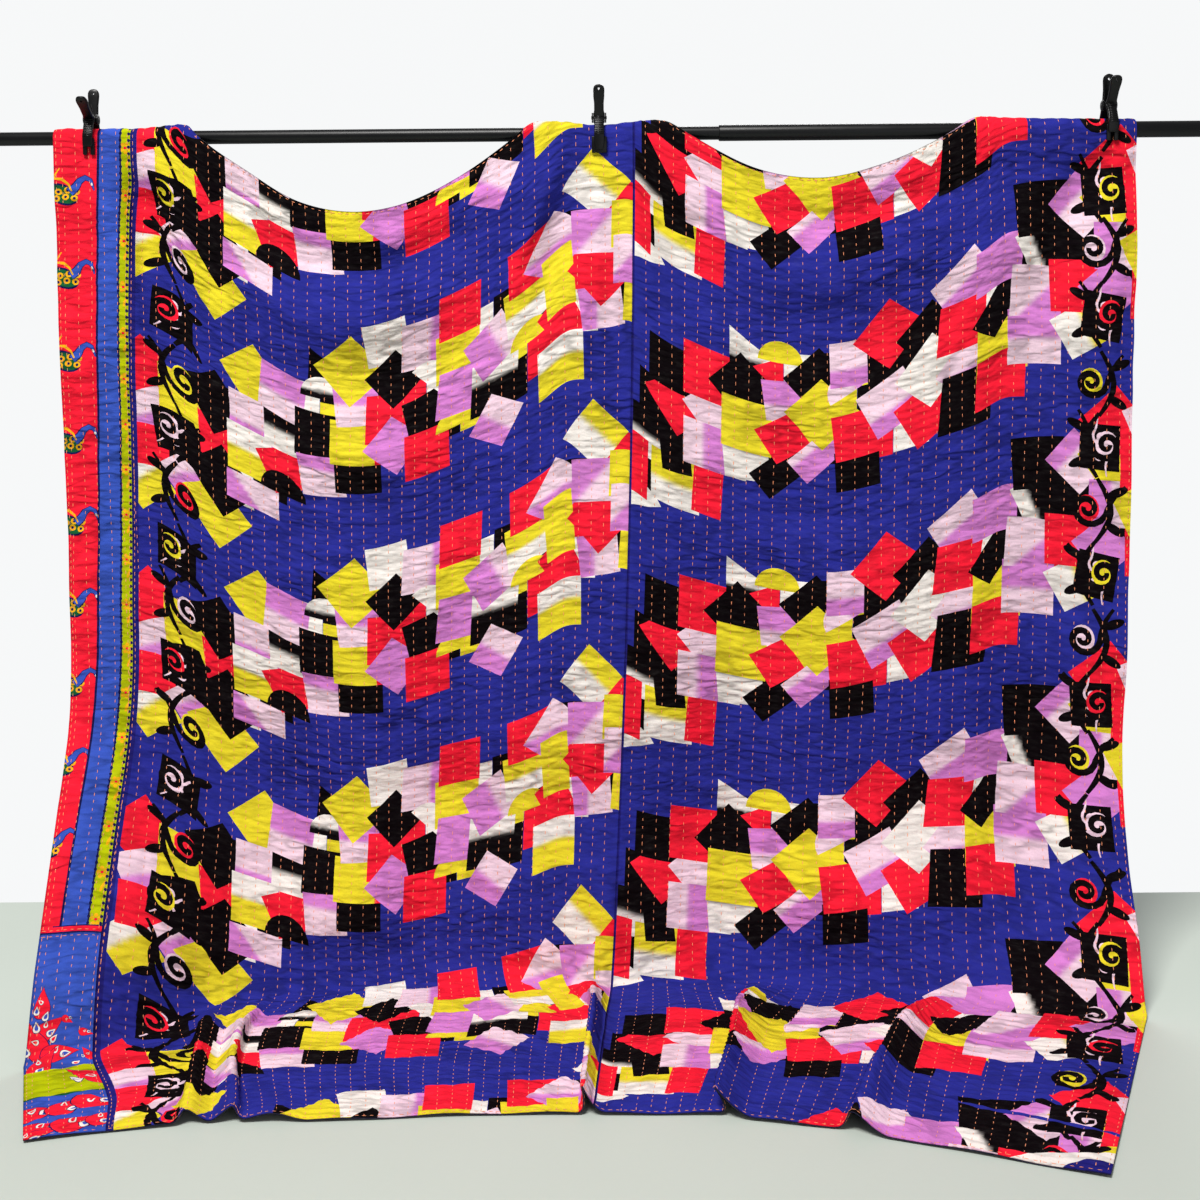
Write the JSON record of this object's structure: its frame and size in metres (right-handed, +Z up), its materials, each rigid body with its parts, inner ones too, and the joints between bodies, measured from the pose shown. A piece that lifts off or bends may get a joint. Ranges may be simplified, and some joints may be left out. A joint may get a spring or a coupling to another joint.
{
  "type": "kantha quilt hung on a rod with clips",
  "caption": "Stitched cotton quilt draped over a black telescoping rod and held by spring clips, sagging between them, its lower end lying forward on the floor.",
  "frame": {"origin": "on the floor, under the middle of the whole part's box", "axes": "+X along the rod to the right as seen from the front, +Y from the front to the back, +Z up"},
  "size_m": [2.46, 0.8278, 1.7118],
  "materials": {
    "main_print": "printed cotton, running stitch",
    "border_print": "printed cotton, running stitch",
    "corner_print": "printed cotton, running stitch",
    "rod_black": "satin black paint",
    "clip_black": "moulded black plastic",
    "pad_black": "smooth black pad",
    "spring_black": "blackened steel"
  },
  "bodies": {
    "root": {"border_panel": "border_print", "corner_panel": "corner_print", "main_panel_left": "main_print", "main_panel_right": "main_print", "rod_inner": "rod_black", "rod_outer": "rod_black", "clip_1_front_lever": "clip_black", "clip_1_back_lever": "clip_black", "clip_1_front_pad": "pad_black", "clip_1_back_pad": "pad_black", "clip_1_spring": "spring_black", "clip_2_front_lever": "clip_black", "clip_2_back_lever": "clip_black", "clip_2_front_pad": "pad_black", "clip_2_back_pad": "pad_black", "clip_2_spring": "spring_black", "clip_3_front_lever": "clip_black", "clip_3_back_lever": "clip_black", "clip_3_front_pad": "pad_black", "clip_3_back_pad": "pad_black", "clip_3_spring": "spring_black"}
  },
  "joints": []
}
